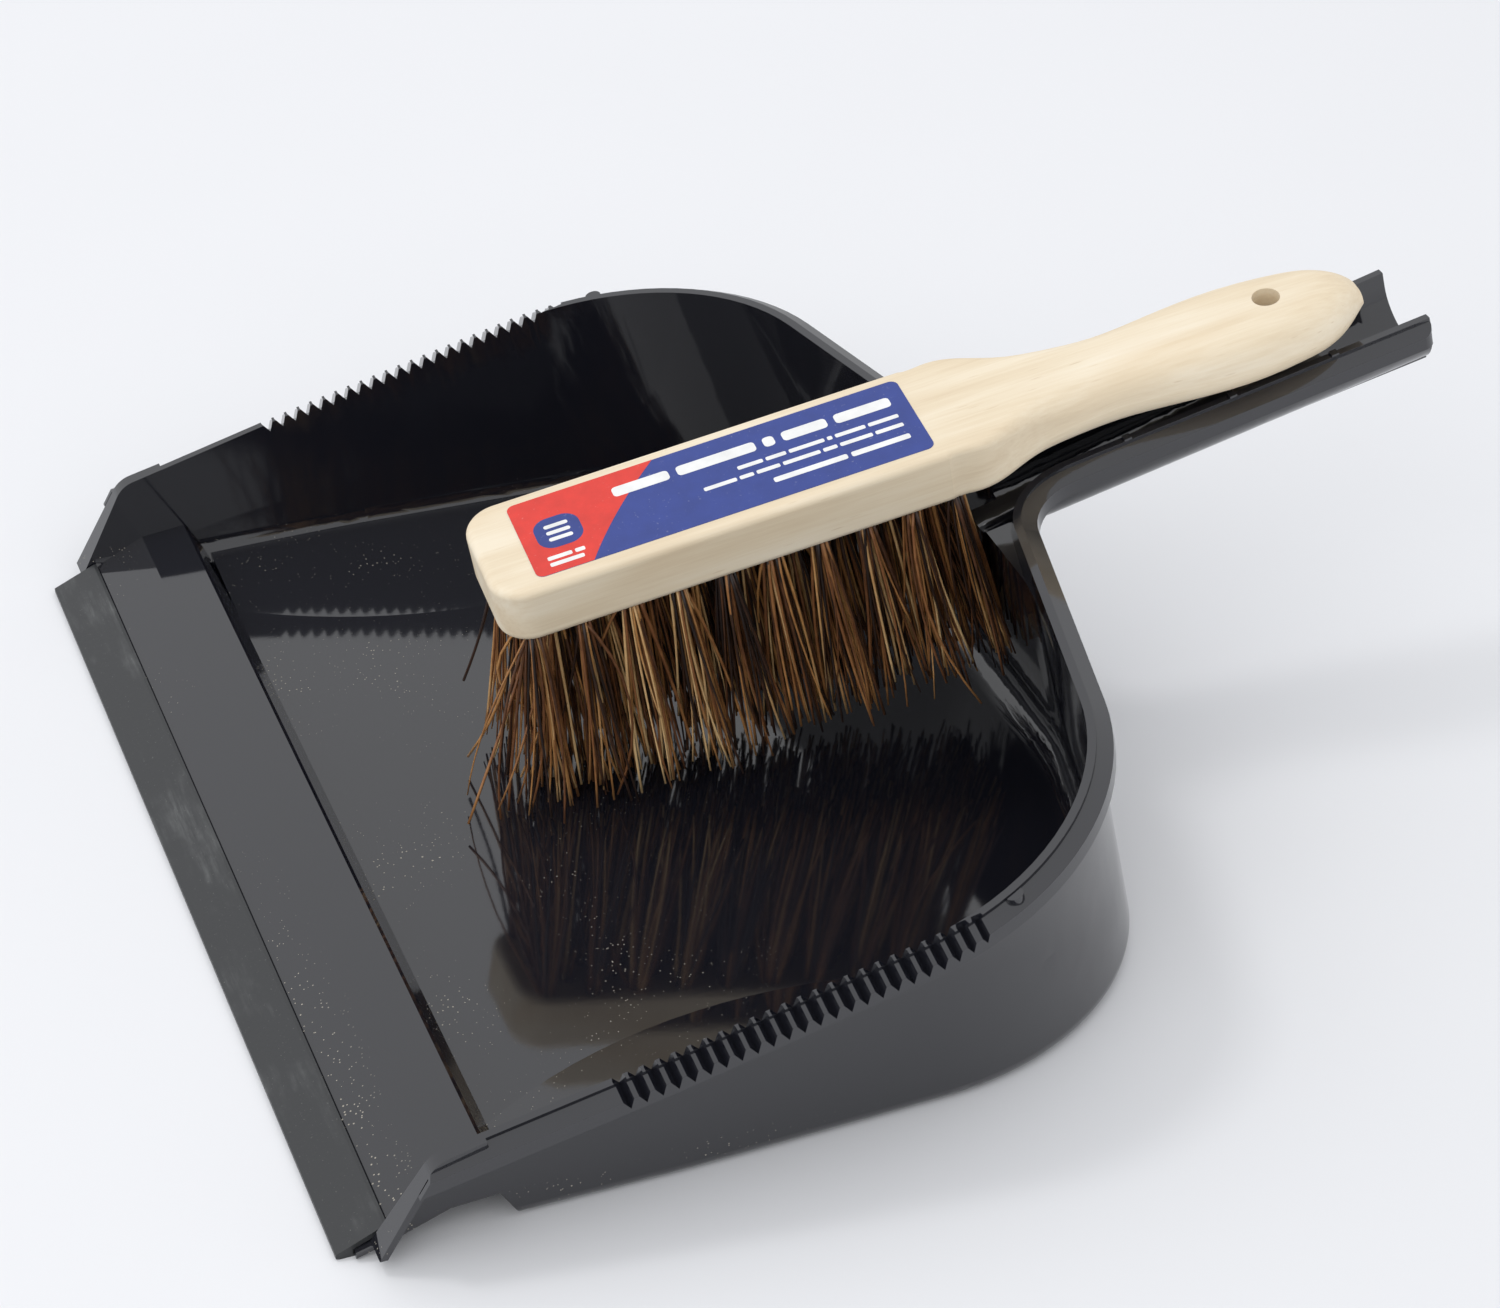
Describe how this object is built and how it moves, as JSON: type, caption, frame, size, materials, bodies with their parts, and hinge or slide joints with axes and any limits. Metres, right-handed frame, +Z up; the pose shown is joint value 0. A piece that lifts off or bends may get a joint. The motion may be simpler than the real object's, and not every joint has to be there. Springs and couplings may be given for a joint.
{
  "type": "dust pan and brush set",
  "caption": "Black moulded dust pan with raised comb rims, rubber lip and open trough handle, holding a wooden hand brush with stiff natural bristles.",
  "frame": {"origin": "middle of the base of the whole set's bounding box, on the table", "axes": "+X across the pan, +Y from the mouth to the handle, +Z up"},
  "size_m": [0.3666, 0.4012, 0.1372],
  "materials": {
    "pan_plastic": "gloss",
    "lip_rubber": "satin",
    "beech": "bare sanded",
    "label_film": "semi-gloss",
    "anchor_wire": "bright",
    "bristle": "natural fibre"
  },
  "bodies": {
    "pan": {"pan_body": "pan_plastic", "rubber_lip": "lip_rubber"},
    "brush": {"brush_block": "beech", "block_label": "label_film", "tuft_anchors": "anchor_wire", "tuft_row1_01": "bristle", "tuft_row1_02": "bristle", "tuft_row1_03": "bristle", "tuft_row1_04": "bristle", "tuft_row1_05": "bristle", "tuft_row1_06": "bristle", "tuft_row1_07": "bristle", "tuft_row1_08": "bristle", "tuft_row1_09": "bristle", "tuft_row1_10": "bristle", "tuft_row2_01": "bristle", "tuft_row2_02": "bristle", "tuft_row2_03": "bristle", "tuft_row2_04": "bristle", "tuft_row2_05": "bristle", "tuft_row2_06": "bristle", "tuft_row2_07": "bristle", "tuft_row2_08": "bristle", "tuft_row2_09": "bristle", "tuft_row3_01": "bristle", "tuft_row3_02": "bristle", "tuft_row3_03": "bristle", "tuft_row3_04": "bristle", "tuft_row3_05": "bristle", "tuft_row3_06": "bristle", "tuft_row3_07": "bristle", "tuft_row3_08": "bristle", "tuft_row3_09": "bristle", "tuft_row3_10": "bristle", "tuft_row4_01": "bristle", "tuft_row4_02": "bristle", "tuft_row4_03": "bristle", "tuft_row4_04": "bristle", "tuft_row4_05": "bristle", "tuft_row4_06": "bristle", "tuft_row4_07": "bristle", "tuft_row4_08": "bristle", "tuft_row4_09": "bristle", "tuft_row5_01": "bristle", "tuft_row5_02": "bristle", "tuft_row5_03": "bristle", "tuft_row5_04": "bristle", "tuft_row5_05": "bristle", "tuft_row5_06": "bristle", "tuft_row5_07": "bristle", "tuft_row5_08": "bristle", "tuft_row5_09": "bristle", "tuft_row5_10": "bristle"}
  },
  "joints": [
    {"name": "brush_lift", "type": "slide", "parent": "pan", "child": "brush", "axis": [0, -0.36, 0.933], "range_m": [0, 0.2]}
  ]
}
